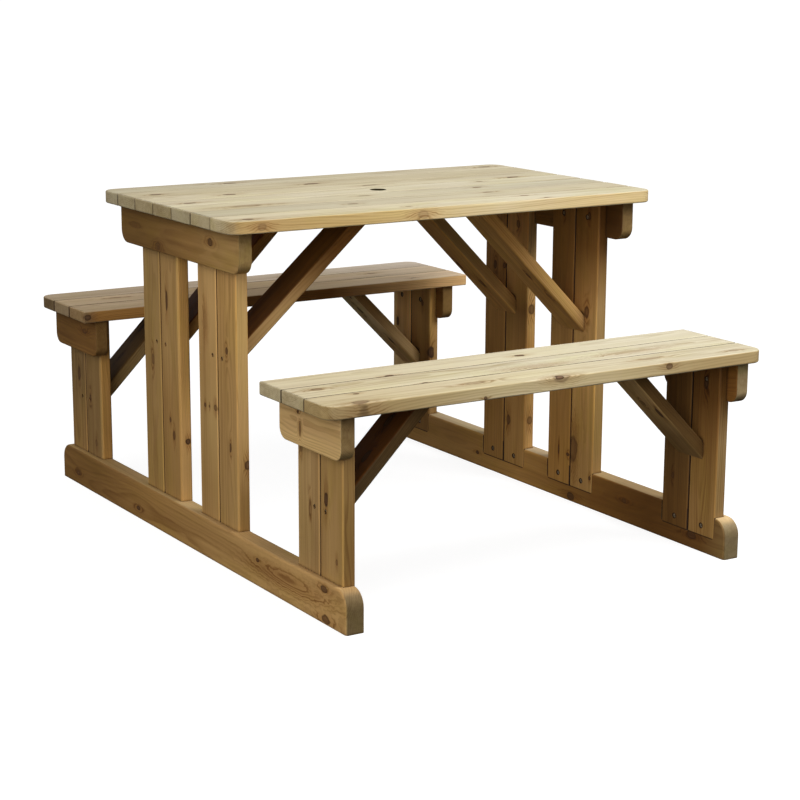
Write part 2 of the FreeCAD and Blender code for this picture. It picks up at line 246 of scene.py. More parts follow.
# ---------------------------------------------------------------- wood
# Knots by board: the face they show on, their place there in the table's frame and their radius, in
# millimetres, how many times longer than wide they are, and how dark. Faces are named by the two
# directions that the place is measured along.
KNOTS = {
    "top_plank_1": [("XY", -486, -293, 7, 1.6, 0.8), ("XY", -99, -282, 4, 1.5, 0.5),
                    ("XY", 225, -257, 5, 2.0, 0.5), ("XY", 251, -308, 4, 1.3, 0.7),
                    ("XZ", -465, 745, 7, 1.2, 0.3), ("XZ", -81, 745, 8, 1.5, 0.25)],
    "top_plank_2": [("XY", -182, -187, 6, 1.8, 0.6), ("XY", 186, -164, 6, 2.2, 0.5)],
    "top_plank_3": [("XY", -384, -106, 10, 3.0, 0.25), ("XY", -84, -77, 5, 2.4, 0.5),
                    ("XY", 216, -72, 6, 1.8, 0.7)],
    "top_plank_4": [("XY", -471, -6, 7, 1.8, 0.7), ("XY", 287, 16, 5, 1.5, 0.6)],
    "top_plank_5": [("XY", -336, 92, 7, 2.0, 0.8), ("XY", 28, 82, 6, 2.8, 0.6),
                    ("XY", 405, 51, 8, 1.8, 0.9)],
    "top_plank_6": [("XY", -470, 170, 7, 1.5, 0.8), ("XY", -78, 176, 8, 2.0, 0.8)],
    "top_plank_7": [("XY", -234, 276, 7, 2.0, 0.7), ("XY", 470, 267, 8, 2.0, 0.7)],
    "front_bench_plank_1": [("XY", 43, -493, 6, 1.8, 1.0), ("XY", -290, -527, 6, 1.6, 1.0)],
    "front_bench_plank_2": [("XY", -480, -564, 7, 1.5, 0.5), ("XY", 10, -604, 12, 2.4, 0.0),
                            ("XY", 263, -583, 10, 3.2, 0.1), ("XY", -269, -616, 4, 2.0, 0.9)],
    "front_bench_plank_3": [("XY", -438, -633, 4, 1.6, 0.9), ("XY", -461, -703, 9, 1.8, 0.5),
                            ("XY", -180, -672, 8, 2.4, 0.3), ("XZ", -2, 460, 11, 1.5, 0.32),
                            ("XZ", -6, 458, 3.5, 2.6, 1.0), ("XZ", -185, 437, 3, 1.2, 1.0),
                            ("XY", 262, -662, 6, 3.4, 0.35), ("XZ", 274, 451, 5.5, 1.4, 0.75),
                            ("XY", 473, -686, 6, 1.8, 0.3)],
    "back_bench_plank_1": [("XZ", -528, 446, 6, 1.2, 0.8), ("XY", 392, 466, 4, 1.8, 0.5)],
    "back_bench_plank_2": [("XY", -395, 585, 5, 3.0, 0.4), ("XY", 330, 585, 5, 2.0, 0.7)],
    "back_bench_plank_3": [("XY", 120, 660, 6, 1.8, 0.5)],
    "left_back_table_upright_inner": [("YZ", 106, 533, 4.5, 4.5, 0.9), ("YZ", 99, 264, 4, 1.3, 0.9),
                                      ("YZ", 81, 232, 5, 1.8, 0.7), ("XZ", -463, 222, 5, 1.2, 1.0)],
    "left_back_table_upright_outer": [("YZ", 184, 387, 6, 1.8, 0.5)],
    "left_front_table_upright_outer": [("YZ", -182, 469, 5, 1.4, 0.8), ("YZ", -194, 263, 4, 2.2, 0.9),
                                       ("XZ", -459, 230, 6, 1.5, 0.8)],
    "left_front_table_upright_inner": [("YZ", -78, 333, 4, 1.0, 0.9), ("YZ", -98, 334, 3, 1.0, 0.9),
                                       ("YZ", -126, 336, 7, 0.9, 0.6), ("YZ", -84, 520, 9, 2.0, 0.1)],
    "left_back_bench_upright_outer": [("YZ", 614, 276, 7, 2.2, 0.9)],
    "left_back_bench_upright_inner": [("YZ", 549, 226, 5, 1.5, 0.7), ("YZ", 520, 120, 5, 1.5, 0.5)],
    "left_front_bench_upright_outer": [("YZ", -599, 247, 6, 2.2, 1.0), ("YZ", -640, 130, 4, 1.4, 0.5)],
    "left_front_bench_upright_inner": [("YZ", -535, 215, 4, 4.0, 0.3), ("YZ", -500, 330, 5, 1.5, 0.4)],
    "left_foot_rail": [("YZ", 606, 28, 6, 1.4, 0.8), ("YZ", 253, 24, 5, 1.5, 1.0),
                       ("YZ", -614, 71, 6, 1.8, 0.8), ("YZ", -620, 10, 8, 1.8, 0.7),
                       ("YZ", -337, 56, 4, 1.5, 0.9), ("YZ", -470, 45, 14, 3.5, 0.0)],
    "left_table_bearer": [("YZ", 94, 658, 8, 1.1, 0.5), ("YZ", -160, 698, 7, 1.2, 0.8),
                          ("YZ", 215, 690, 5, 3.0, 0.2)],
    "left_front_table_brace": [("XZ", -337, 589, 5, 1.5, 0.8), ("XZ", -250, 664, 4, 1.5, 0.6)],
    "left_front_bench_bearer": [("YZ", -530, 412, 4, 0.8, 1.0), ("YZ", -538, 380, 12, 0.2, 0.8)],
    "left_back_bench_bearer": [("YZ", 518, 398, 6, 1.6, 0.5)],
    "right_front_table_upright_inner": [("YZ", -94, 116, 2.5, 4.5, 0.9), ("YZ", -95, 687, 4, 1.5, 1.0),
                                        ("YZ", -130, 112, 5, 0.8, 1.0)],
    "right_front_table_upright_outer": [("YZ", -139, 109, 4, 1.2, 1.0), ("YZ", -152, 130, 13, 2.3, 0.55),
                                        ("YZ", -218, 73, 4, 1.1, 1.0), ("YZ", -190, 466, 8, 1.5, 0.7),
                                        ("YZ", -192, 691, 5, 1.5, 0.9)],
    "right_back_table_upright_inner": [("YZ", 118, 147, 7, 1.7, 0.7), ("XZ", 468, 157, 7, 1.3, 0.6),
                                       ("XZ", 467, 435, 8, 1.3, 0.7), ("YZ", 90, 640, 6, 1.5, 0.6)],
    "right_back_table_upright_outer": [("YZ", 185, 528, 6, 1.6, 0.7), ("YZ", 146, 531, 5, 1.4, 0.8)],
    "right_front_bench_upright_outer": [("YZ", -621, 378, 6, 1.9, 1.0)],
    "right_front_bench_upright_inner": [("YZ", -520, 150, 4, 1.5, 0.5)],
    "right_back_bench_upright_inner": [("XZ", 460, 253, 7, 2.0, 1.0), ("YZ", 520, 380, 5, 1.4, 0.8)],
    "right_foot_rail": [("YZ", 253, 33, 4, 1.4, 1.0), ("YZ", -145, 12, 8, 1.6, 0.8),
                        ("YZ", -591, 30, 8, 1.5, 0.8), ("YZ", -350, 50, 5, 1.6, 0.5)],
    "right_table_bearer": [("YZ", 60, 690, 6, 1.3, 0.6)],
}

# How light and how warm a board is against its look, at places along it in the table's frame, in
# millimetres: (place, lightness, warmth). Warmer wood is browner. Besides the boards' own colour, these
# tones hold painted light and shade: cast shadows, such as the table top's on the back bench and the
# benches' on the frames beneath them, and lit patches; darker painted shade is made warmer.
FACE_SHADES = {
    "top_plank_1": [(-390, 1.0, 0), (380, 0.9, -0.5)],
    "top_plank_2": [(0, 0.85, -0.25)],
    "top_plank_3": [(-390, 0.95, 0), (380, 0.8, -0.5)],
    "top_plank_4": [(-390, 1.15, -0.5), (380, 0.95, -0.5)],
    "top_plank_5": [(-390, 1.1, -0.25), (380, 0.9, -0.25)],
    "top_plank_6": [(-390, 0.95, 0), (380, 0.85, 0)],
    "top_plank_7": [(-390, 0.9, -0.25), (-130, 1.0, -0.5), (380, 0.95, -0.25)],
    "front_bench_plank_1": [(-390, 1.05, 0), (380, 1.0, -0.5)],
    "front_bench_plank_2": [(-390, 1.05, 0), (0, 1.0, -0.5)],
    "front_bench_plank_3": [(-390, 0.95, 0.5), (0, 1.05, -0.25), (380, 0.9, -0.25)],
    "back_bench_plank_1": [(-390, 1.05, 0), (-130, 0.8, 0.5), (125, 1.0, 0), (385, 1.35, -0.5)],
    "back_bench_plank_2": [(-390, 0.95, 0), (-130, 0.7, 0.5), (125, 0.85, 0.25),
                           (385, 1.05, -0.75)],
    "back_bench_plank_3": [(-390, 0.8, -0.5), (-130, 0.9, -1), (385, 1.0, -1.5)],
    "left_foot_rail": [(-510, 1.25, 0), (-180, 1.05, 0.25), (160, 0.8, 1.25), (500, 0.5, 2)],
    "left_table_bearer": [(-210, 1.05, 0), (-70, 0.8, 1), (65, 0.6, 1.25), (200, 0.45, 1.75)],
    "left_front_bench_bearer": [(-575, 1.65, -1.25)],
    "left_back_bench_bearer": [(515, 0.5, 2.5), (630, 0.4, 2.5)],
    "left_front_bench_brace": [(340, 0.4, 6.5)],
    "left_back_bench_brace": [(330, 0.55, 1.5)],
    "left_front_table_brace": [(555, 0.35, 5), (650, 0.55, 4)],
    "left_back_table_brace": [(530, 0.35, 7), (615, 0.75, 8)],
    "left_front_table_upright_inner": [(160, 0.95, 0.25), (300, 1.15, -0.5), (430, 1.15, 0),
                                       (560, 1.35, -0.25)],
    "left_front_table_upright_outer": [(160, 1.0, 0), (430, 1.1, 0.25), (560, 1.3, 0.25)],
    "left_back_table_upright_inner": [(160, 0.8, 0.75), (300, 0.85, 0.75), (430, 1.0, 0)],
    "left_back_table_upright_outer": [(160, 0.85, 0.25), (560, 0.85, -0.25)],
    "left_front_bench_upright_inner": [(150, 1.0, -0.5), (270, 1.15, -0.75)],
    "left_back_bench_upright_inner": [(210, 0.6, 0)],
    "left_back_bench_upright_outer": [(150, 0.65, 0.5), (270, 0.5, -0.25)],
    "right_foot_rail": [(-690, 0.6, 0.5), (-620, 0.4, 3.5), (-440, 0.35, 4.5), (-230, 0.6, 3.5),
                        (75, 1.25, 1.5), (380, 0.8, 1.25)],
    "right_table_bearer": [(-230, 0.25, 4), (-10, 0.75, 1.5)],
    "right_front_bench_bearer": [(-680, 0.6, 4)],
    "right_back_bench_bearer": [(470, 0.6, 3)],
    "right_front_bench_brace": [(260, 0.7, 0), (350, 1.5, -1)],
    "right_back_bench_brace": [(260, 1.35, -0.5), (355, 1.9, -2.5)],
    "right_front_table_brace": [(495, 1.3, 1), (630, 1.25, 0.5)],
    "right_back_table_brace": [(540, 1.45, 1)],
    "right_front_table_upright_inner": [(125, 1.15, 2), (285, 1.05, 1.5), (450, 0.8, 1.25),
                                        (610, 0.7, 2.25)],
    "right_front_table_upright_outer": [(125, 1.2, 0.75), (290, 1.55, 0.5), (455, 1.15, 0.5),
                                        (620, 0.55, 3)],
    "right_back_table_upright_inner": [(120, 1.25, 1), (275, 1.05, 1.5), (430, 0.6, 1.75),
                                       (580, 1.5, 1)],
    "right_back_table_upright_outer": [(120, 0.9, 1.75), (270, 0.7, 2.25), (420, 0.75, 2),
                                       (570, 0.95, 2)],
    "right_front_bench_upright_inner": [(100, 0.45, 2.75), (210, 0.4, 2), (325, 0.6, 2.25)],
    "right_front_bench_upright_outer": [(100, 1.0, 0.75), (220, 0.85, 1.5), (345, 0.5, 3.5)],
    "right_back_bench_upright_inner": [(105, 0.55, 1.75), (225, 0.45, 2.75), (350, 1.0, 0.5)],
    "right_back_bench_upright_outer": [(250, 1.45, -1.5), (345, 2.25, -0.5)],
}

# The same for the edges and ends of the boards where they differ from the faces; the difference is
# mostly painted light and shade, sides lit and shaded unlike the faces.
EDGE_SHADES = {
    "top_plank_1": [(-537, 1.25, 0.25), (-520, 1.0, 3), (-130, 1.05, 2), (120, 1.15, 0.5),
                    (375, 1.1, 1.5)],
    "top_plank_2": [(-537, 1.1, 0.25), (-500, 0.85, -0.25)],
    "top_plank_4": [(-537, 0.9, 0.5), (-500, 1.15, -0.5), (380, 0.95, -0.5)],
    "top_plank_5": [(-537, 0.9, 0.5), (-500, 1.1, -0.25), (380, 0.9, -0.25)],
    "front_bench_plank_1": [(-541, 1.15, 0), (-500, 1.05, 0), (380, 1.0, -0.5)],
    "front_bench_plank_2": [(-541, 1.15, 0.25), (-500, 1.05, 0), (0, 1.0, -0.5)],
    "front_bench_plank_3": [(-390, 0.95, 2), (-130, 1.15, 0.75), (120, 1.1, 1), (375, 0.85, 2.25)],
    "back_bench_plank_1": [(-537, 0.65, 1), (-500, 0.95, 5), (-380, 0.95, 5), (-150, 0.35, 6.5),
                           (130, 0.45, 6.5), (390, 1.75, 2)],
    "back_bench_plank_2": [(-537, 0.6, 0), (-500, 0.95, 0)],
    "back_bench_plank_3": [(-537, 0.35, 0.75), (-500, 0.8, -0.5)],
    "left_foot_rail": [(-700, 0.65, -0.5), (-660, 1.35, -1), (-250, 1.0, -0.25),
                       (40, 1.2, -1.75), (325, 0.9, -0.5)],
    "left_front_bench_bearer": [(-695, 1.0, 0), (-670, 1.65, -1.25)],
    "left_back_bench_bearer": [(452, 1.05, 2), (475, 0.5, 2)],
    "left_front_bench_brace": [(290, 0.35, -0.25), (365, 0.55, 0.5)],
    "left_back_bench_brace": [(290, 1.05, -1)],
    "left_front_table_brace": [(530, 1.2, -0.75), (650, 0.6, 4)],
    "left_back_table_brace": [(560, 1.1, 1.5)],
    "right_front_bench_brace": [(270, 0.35, 1.25), (360, 0.5, 1.5)],
    "right_back_bench_brace": [(275, 1.15, -1.25), (365, 0.85, 0.5)],
    "right_front_table_brace": [(505, 1.25, -0.25), (640, 1.05, 1.25)],
    "right_back_table_brace": [(495, 0.8, 1.25), (605, 0.8, 0)],
    "left_front_table_upright_outer": [(160, 0.85, 0.75), (295, 1.2, -0.25), (560, 1.3, -0.75)],
    "left_back_table_upright_inner": [(160, 1.2, 0.25), (295, 1.5, 0.5), (430, 1.7, 0.75)],
    "left_front_bench_upright_outer": [(150, 0.65, 1), (275, 0.8, 0.25)],
    "left_back_bench_upright_inner": [(155, 1.2, 1.25), (275, 1.4, 1.25)],
    "right_foot_rail": [(-700, 0.85, -1.5), (-670, 1.6, -2.5), (-620, 1.2, -1.75),
                        (-230, 1.05, -1.75), (40, 1.25, -3)],
    "right_table_bearer": [(-286, 0.8, 0.25), (-262, 0.25, 3)],
    "right_front_bench_bearer": [(-695, 1.2, -1.5), (-670, 0.6, 4)],
    "right_back_bench_bearer": [(452, 1.1, 1.5), (475, 0.6, 3)],
    "right_front_table_upright_outer": [(170, 0.9, 0), (480, 0.8, -0.5), (630, 0.35, 4.5)],
    "right_back_table_upright_inner": [(165, 1.35, 0.25), (310, 1.25, 2), (450, 2.0, -0.5),
                                       (595, 1.3, -0.5)],
    "right_front_bench_upright_outer": [(145, 0.8, -0.5), (255, 0.85, -1), (360, 0.4, 3.5)],
    "right_back_bench_upright_inner": [(145, 0.85, 0), (255, 1.25, 0), (365, 2.0, 0.5)],
}

# What a board's knots add up to at a point of it. The bark field also carries painted shade at seams,
# housings, screw rings and the parasol hole's wall.
KNOT_FIELDS = {"Push": "Float", "Body": "Float", "BarkAndShade": "Float", "Halo": "Float"}


def knot_group():
    """One knot: a branch that crosses the board along an axis. It pushes the rings around itself,
    and adds its body, the dark line of its bark, and a stain with tails along the grain."""
    group, g, start, end = make_group(
        "knot",
        {"Board": "Vector", "Centre": "Vector", "Axis": "Vector", "Radius": "Float",
         "Length": "Float", "Depth": "Float", "Dark": "Float", **KNOT_FIELDS},
        KNOT_FIELDS)
    radius = start["Radius"]
    away = g.vector("SUBTRACT", start["Board"], start["Centre"])
    along = g.node("VectorMath", operation="SCALE")
    inwards = g.vector("DOT_PRODUCT", away, start["Axis"])
    g.put(along.inputs[0], start["Axis"])
    g.put(along.inputs["Scale"], inwards)
    flat = g.vector("SUBTRACT", away, along.outputs[0])
    inwards = g.math("DIVIDE", inwards, start["Depth"])

    wobble = g.noise(start["Board"], KNOT_WOBBLE)
    uneven = g.around(wobble, 0.5, 0.6, 1.0)
    shortened = g.math("DIVIDE", 1.0, start["Length"])

    def reach(stretch):
        shrink = g.combine(g.math("MULTIPLY", shortened, stretch), 1.0, 1.0)
        far = g.math("DIVIDE", g.vector("LENGTH", g.vector("MULTIPLY", flat, shrink)), radius)
        return g.math("MULTIPLY", g.vector("LENGTH", g.combine(far, inwards, 0.0)), uneven)

    body = reach(1.0)
    bell = g.math("EXPONENT", g.math("MULTIPLY", g.math("POWER", reach(0.55), 2.0), -0.35))
    push = g.math("MULTIPLY", g.math("MULTIPLY", bell, radius), 1.3)
    bark = g.math("MULTIPLY", g.remap(body, 1.35, 1.02), g.remap(body, 0.65, 1.0))
    halo = g.remap(reach(0.42), 2.3, 0.6)
    g.put(end["Push"], g.math("ADD", start["Push"], push))
    for field, value in (("Body", g.remap(body, 1.12, 0.85)), ("BarkAndShade", bark)):
        g.put(end[field], g.math("MAXIMUM", start[field], g.math("MULTIPLY", value, start["Dark"])))
    g.put(end["Halo"], g.math("MAXIMUM", start["Halo"], halo))
    return group


def wood_group():
    """Solid softwood. Board is a point in the board: X along the grain, Y across its face, Z through
    it. Rings run around a pith beside the board, so faces show flames and ends show arcs."""
    group, g, start, end = make_group(
        "softwood",
        {"Board": "Vector", "Grain": "Vector", "Through": "Vector", "Seed": "Vector",
         "Pith": "Vector", "Spacing": "Float", "Contrast": "Float", "Streaks": "Float",
         "Green": "Float", "Early": "Color", "Late": "Color", "Face": "Vector",
         "Edge": "Vector", "End": "Color", "Knot": "Color", "Wear": "Float",
         **KNOT_FIELDS},
        {"Colour": "Color", "Roughness": "Float", "Height": "Float"})
    board = start["Board"]
    moved = g.vector("ADD", board, start["Seed"])

    # Rings: the distance from the pith, bent by drift and ripple, and pushed around the knots.
    from_pith = g.vector("SUBTRACT", board, start["Pith"])
    radius = g.vector("LENGTH", g.vector("MULTIPLY", from_pith, TAPER))
    radius = g.math("MULTIPLY_ADD", g.noise(moved, DRIFT), DRIFT_REACH, radius)
    radius = g.math("MULTIPLY_ADD", g.noise(moved, RIPPLE), RIPPLE_REACH, radius)
    radius = g.math("ADD", radius, start["Push"])
    years = g.math("DIVIDE", radius, start["Spacing"])
    year = g.math("FLOOR", years)
    season = g.math("FRACT", years)
    growth = g.noise(g.combine(year, year, year), (3.7, 0.0, 0.0), detail=0)
    late = g.math("MULTIPLY", g.remap(season, 0.30, 0.86), g.remap(season, 1.0, 0.92))
    late = g.math("MULTIPLY", late, g.remap(growth, 0.3, 0.7, 0.35, 1.0))

    # Colour: rings, fibres and streaks, and broad bands of paler and darker wood.
    fibre = g.noise(moved, FIBRE, detail=3, roughness=0.65)
    streak = g.noise(moved, STREAK, detail=3, roughness=0.55)
    bands = g.noise(moved, BANDS)
    blotch = g.noise(moved, BLOTCH, detail=3, roughness=0.6)
    swirl = g.math("MULTIPLY_ADD", start["Halo"], 0.8, start["Contrast"])
    amount = g.math("MULTIPLY", late, swirl)
    amount = g.around(streak, 0.5, start["Streaks"], amount)
    amount = g.around(fibre, 0.5, 0.4, amount)
    amount = g.math("ADD", g.around(bands, 0.5, 1.1, amount), 0.16, clamp=True)
    colour = g.mix(amount, start["Early"], start["Late"])
    green = g.math("MULTIPLY", g.remap(blotch, 0.40, 0.70), start["Green"])
    colour = g.mix(green, colour, g.mix(1.0, colour, GREEN_TINT, "OVERLAY"))

    # Tone: a board's faces have one, and its edges and ends another. Both hold the board's own colour
    # together with painted light and shade, so the edges and ends are lit and shaded copies of the
    # faces.
    normal = g.node("NewGeometry").outputs["Normal"]
    level = g.math("ABSOLUTE", g.vector("DOT_PRODUCT", normal, start["Through"]))
    tone = g.mix(g.remap(level, 0.75, 0.35), start["Face"], start["Edge"])
    colour = g.mix(1.0, colour, tone, "MULTIPLY")

    # Knots: stained wood, the branch's own rings, and its bark. The bark colour also paints the shade
    # gathered in the bark field at seams, housings, screw rings and the hole's wall.
    halo = g.math("MULTIPLY", start["Halo"], 0.35)
    colour = g.mix(halo, colour, g.mix(1.0, colour, KNOT_STAIN, "MULTIPLY"))
    branch_rings = g.math("SINE", g.math("MULTIPLY", start["Push"], BRANCH_RINGS))
    branch = g.mix(g.remap(branch_rings, -1.0, 1.0, 0.0, 0.3), start["Knot"], KNOT_HALO)
    colour = g.mix(g.math("MULTIPLY", start["Body"], 0.95), colour, branch)
    colour = g.mix(g.math("MULTIPLY", start["BarkAndShade"], 0.85), colour, BARK_AND_SHADE_COLOUR)

    # Painted highlight: an upright's faces are paler in a band beside its long edges. End grain is
    # greyer, with open pores.
    highlight = g.math("MULTIPLY", start["Wear"], g.remap(level, 0.35, 0.75))
    colour = g.mix(highlight, colour, g.mix(1.0, colour, HIGHLIGHT_TINT, "MULTIPLY"))
    facing = g.math("ABSOLUTE", g.vector("DOT_PRODUCT", normal, start["Grain"]))
    end_face = g.remap(facing, 0.45, 0.80)
    pores = g.noise(moved, PORES)
    end_colour = g.mix(1.0, colour, start["End"], "MULTIPLY")
    end_colour = g.mix(g.remap(pores, 0.35, 0.7, 0.0, 0.6), end_colour,
                       g.mix(1.0, end_colour, END_PORE_TINT, "MULTIPLY"))
    colour = g.mix(end_face, colour, end_colour)

    # Crevices: painted shade, darker where ambient occlusion finds other surfaces near, where boards
    # meet and under them.
    occlusion = g.node("AmbientOcclusion", samples=6)
    occlusion.inputs["Distance"].default_value = CREVICE_SHADE_REACH
    crevice_shade = g.remap(occlusion.outputs["AO"], 0.78, 0.28)
    colour = g.mix(crevice_shade, colour, g.mix(1.0, colour, CREVICE_SHADE_TINT, "MULTIPLY"))

    rough = g.math("MULTIPLY_ADD", late, -0.10, g.around(blotch, 0.5, 0.25, 0.70))
    relief = g.math("MULTIPLY_ADD", fibre, 0.5, g.math("MULTIPLY", late, 0.45))
    relief = g.math("MULTIPLY_ADD", start["Body"], 0.6, relief)
    relief = g.math("MULTIPLY_ADD", start["BarkAndShade"], -1.2, relief)
    g.put(end["Colour"], colour)
    g.put(end["Roughness"], g.math("MULTIPLY_ADD", end_face, 0.12, rough))
    g.put(end["Height"], relief)
    return group


KNOT = knot_group()
WOOD = wood_group()


def board_axes(name):
    """Directions along the grain, across the face and through a board, from its name and box."""
    low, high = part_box(name)
    if "plank" in name:
        return Vector((1, 0, 0)), Vector((0, 1, 0)), Vector((0, 0, 1))
    if "upright" in name:
        return Vector((0, 0, 1)), Vector((0, 1, 0)), Vector((-1, 0, 0))
    if "brace" in name:
        outwards = math.copysign(1.0, low.x + high.x)
        grain = Vector((-outwards * (high.x - low.x), 0, high.z - low.z)).normalized()
        across = Vector((0, 1, 0))
        return grain, across, grain.cross(across)
    return Vector((0, 1, 0)), Vector((0, 0, 1)), Vector((1, 0, 0))


def knots_of(name):
    """Knots of a board, as (place, axis, depth, radius, length, darkness). A knot that shows on a
    face goes through the board; one that shows on an edge stops inside it. A board with none listed
    gets two by chance."""
    dice = random.Random("knots " + name)
    low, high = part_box(name)
    middle = (low + high) / 2
    knots = []
    for face, u, v, radius, length, dark in KNOTS.get(name, []):
        place = low.copy()
        for letter, value in zip(face, (u, v)):
            place["XYZ".index(letter)] = value * MM
        axis = Vector([0.0 if letter in face else 1.0 for letter in "XYZ"])
        depth = EDGE_KNOT if face == "XZ" else THROUGH_KNOT
        knots.append((place, axis, depth, radius * MM, length, dark))
    if not knots:
        grain, across, through = board_axes(name)
        half = max(high - low) / 2
        for _ in range(2):
            place = middle + grain * dice.uniform(-0.8, 0.8) * half
            place += across * dice.uniform(-0.032, 0.032)
            knots.append((place, through, THROUGH_KNOT, dice.uniform(3, 7) * MM,
                          dice.uniform(1.2, 2.2), dice.uniform(0.4, 1.0)))
    return knots


def neighbour_sides(name):
    """Sides of a plank or an upright that lie against the next one: -1 front, 1 back."""
    onwards = -1 if "front" in name else 1      # the way that a set's numbers rise
    if "upright" in name:
        return [onwards if name.endswith("inner") else -onwards]
    stem, number = name.split("_plank_")
    count = PLANK_SETS[stem][0]
    return [side for side, final in ((onwards, count), (-onwards, 1)) if int(number) != final]


def seam_shade_lines(g, name, split, half_width, half_length, darkening):
    """Painted shade where a board meets the next one, and around an upright's foot and its screw heads.
    """
    across = split.outputs["Y"]
    seam_shade_strength = TOP_SEAM_SHADE if name.startswith("top") else 1.0
    for side in neighbour_sides(name):
        to_edge = g.math("MULTIPLY_ADD", across, -side, half_width)
        seam = g.remap(to_edge, *SEAM_SHADE, 0.0, seam_shade_strength)
        darkening = g.math("MAXIMUM", darkening, seam)
    if "upright" not in name:
        return darkening
    height = g.math("ADD", split.outputs["X"], half_length)
    housed = g.remap(height, HOUSED_HEIGHT + 1.0 * MM, HOUSED_HEIGHT - 1.0 * MM)
    to_side = g.math("SUBTRACT", half_width, g.math("ABSOLUTE", across))
    outline = g.remap(g.math("MINIMUM", to_side, height), *HOUSING_SHADE_LINE, 0.0, 1.2)
    darkening = g.math("MAXIMUM", darkening, g.math("MULTIPLY", outline, housed))
    for screw_height in (FOOT_SCREW_HEIGHT, 2 * half_length - BEARER_SCREW_DROP):
        far = g.vector("LENGTH", g.combine(g.math("SUBTRACT", height, screw_height), across, 0.0))
        darkening = g.math("MAXIMUM", darkening, g.remap(far, *SCREW_SHADE_RING, 0.0, 1.2))
    return darkening


def wood_material(name, look):
    """The wood of one board: its look's colours, its own rings and its own knots."""
    dice = random.Random(name)
    low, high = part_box(name)
    grain, across, through = board_axes(name)
    material = bpy.data.materials.new("wood_" + name)
    material.use_nodes = True
    g = Graph(material.node_tree)
    shader = material.node_tree.nodes["Principled BSDF"]

    middle = (low + high) / 2
    turn = Matrix((grain, across, through)).transposed()
    mapping = g.node("Mapping", vector_type="TEXTURE")
    mapping.inputs["Location"].default_value = middle
    mapping.inputs["Rotation"].default_value = turn.to_euler()
    g.put(mapping.inputs["Vector"], g.node("TexCoord").outputs["Object"])
    board = mapping.outputs[0]

    fields = {field: 0.0 for field in KNOT_FIELDS}
    if name == "top_plank_4":
        # The parasol hole's wall is painted dark: painted shade inside the hole together with dark
        # stain, through the bark field.
        from_hole = g.vector("LENGTH", g.vector("MULTIPLY", board, (1.0, 1.0, 0.0)))
        fields["BarkAndShade"] = g.remap(from_hole, HOLE_RADIUS + 1.0 * MM, HOLE_RADIUS + 0.2 * MM)
    for place, axis, depth, radius, length, dark in knots_of(name):
        tilt = Vector([dice.uniform(-KNOT_TILT, KNOT_TILT) for _ in range(3)])
        out = g.use(KNOT, Board=board, Centre=turn.transposed() @ (place - middle),
                    Axis=(turn.transposed() @ (axis + tilt)).normalized(), Radius=radius,
                    Depth=depth, Length=length, Dark=dark, **fields)
        fields = {field: out[field] for field in KNOT_FIELDS}

    seed = [dice.uniform(-40, 40) for _ in range(3)]
    pith = (dice.uniform(-300, 300) * MM, dice.uniform(-22, 22) * MM,
            dice.choice((-1, 1)) * dice.uniform(22, 75) * MM)
    # Places along a board are measured on the axis that it runs along; a brace's are heights.
    lengthwise = 2 if "brace" in name else max(range(3), key=lambda axis: abs(grain[axis]))
    span = high[lengthwise] - low[lengthwise]
    half_length = span / 2 / abs(grain[lengthwise])
    split = g.node("SeparateXYZ")
    g.put(split.inputs[0], board)
    share = g.remap(split.outputs["X"], -half_length, half_length, kind="LINEAR")
    # Tones along the board for its faces and for its edges and ends, holding painted light and shade
    # besides the board's own colour.
    faces = FACE_SHADES.get(name, PLAIN_STOPS)
    face, edge = (g.shades(share, [((place * MM - low[lengthwise]) / span, lightness, warmth)
                                   for place, lightness, warmth in stops])
                  for stops in (faces, EDGE_SHADES.get(name, faces)))
    edge_highlight = 0.0
    half_width = (high.y - low.y) / 2
    # An upright's faces get a painted highlight in a band beside its long edges, stronger on the left
    # frame.
    if "upright" in name:
        to_side = g.math("SUBTRACT", half_width, g.math("ABSOLUTE", split.outputs["Y"]))
        edge_highlight = g.remap(to_side, *HIGHLIGHT_BAND, 0.0, HIGHLIGHT_BY_FRAME[name.split("_")[0]])
    # Painted shade at seams, and on uprights at their housing and around their screw heads, goes into
    # the bark field.
    if "upright" in name or "plank" in name:
        fields["BarkAndShade"] = seam_shade_lines(g, name, split, half_width, half_length, fields["BarkAndShade"])
    wood = g.use(WOOD, Board=board, Grain=grain, Through=through, Seed=seed, Pith=pith,
                 Spacing=dice.uniform(2.6, 4.4) * MM, Contrast=dice.uniform(*look["rings"]),
                 Streaks=look["streaks"], Green=dice.uniform(*look["green"]),
                 Early=look["early"], Late=look["late"], Face=face, Edge=edge, End=look["end"],
                 Knot=look["knot"], Wear=edge_highlight, **fields)
    bump = g.node("Bump")
    bump.inputs["Strength"].default_value = 0.4
    bump.inputs["Distance"].default_value = 0.5 * MM
    g.put(bump.inputs["Height"], wood["Height"])
    g.put(shader.inputs["Base Color"], wood["Colour"])
    g.put(shader.inputs["Roughness"], wood["Roughness"])
    g.put(shader.inputs["Normal"], bump.outputs[0])
    shader.inputs["Specular IOR Level"].default_value = 0.3
    return material


